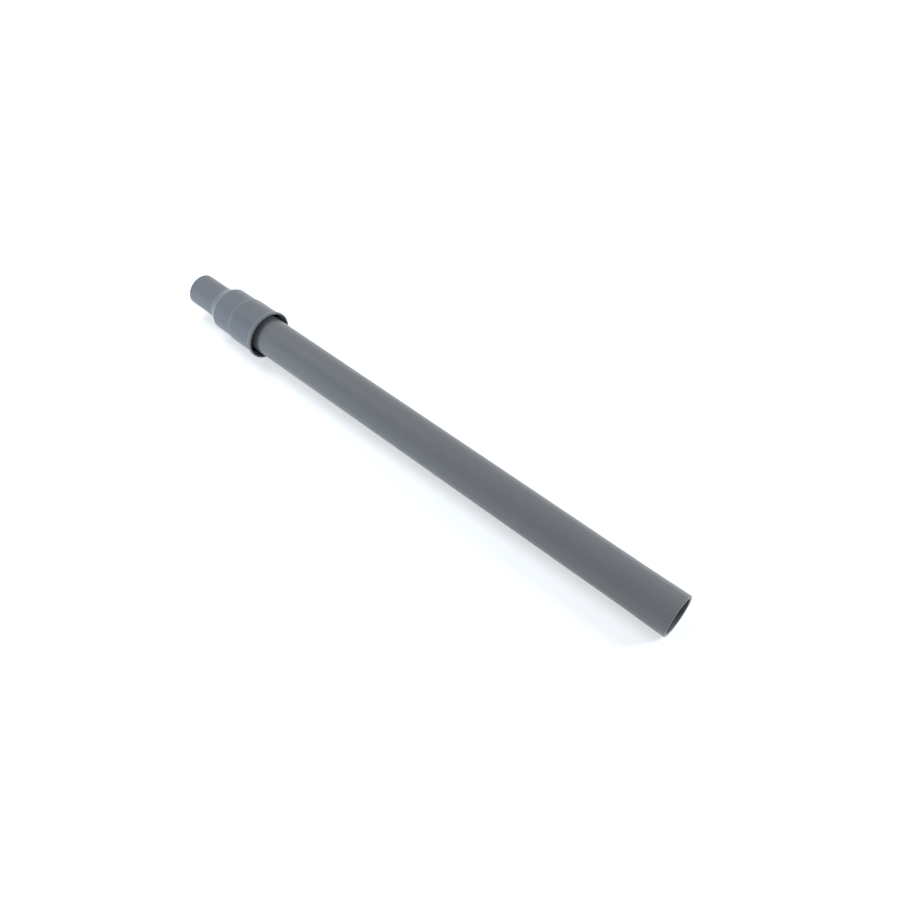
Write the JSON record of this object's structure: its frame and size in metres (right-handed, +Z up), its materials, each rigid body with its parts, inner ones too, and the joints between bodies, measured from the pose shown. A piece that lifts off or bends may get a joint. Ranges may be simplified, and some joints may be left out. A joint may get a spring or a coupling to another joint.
{
  "type": "vacuum extension wand",
  "caption": "Rigid plastic extension wand for a vacuum cleaner: a plain tube with a belled open end, and a moulded end fitting with a stepped hollow collar and a straight male tip.",
  "frame": {"origin": "middle of the bounding box, on the surface that the wand lies on", "axes": "+X along the wand from its tip towards its open end, +Z up; the wand rests on the lip of its collar and on its open end, so its own axis rises 0.67 degrees towards the tip"},
  "size_m": [0.5652, 0.0484, 0.0485],
  "materials": {
    "tube_plastic": "satin extruded grey plastic",
    "fitting_plastic": "satin moulded grey plastic"
  },
  "bodies": {
    "root": {"wand_tube": "tube_plastic", "end_fitting": "fitting_plastic"}
  },
  "joints": []
}
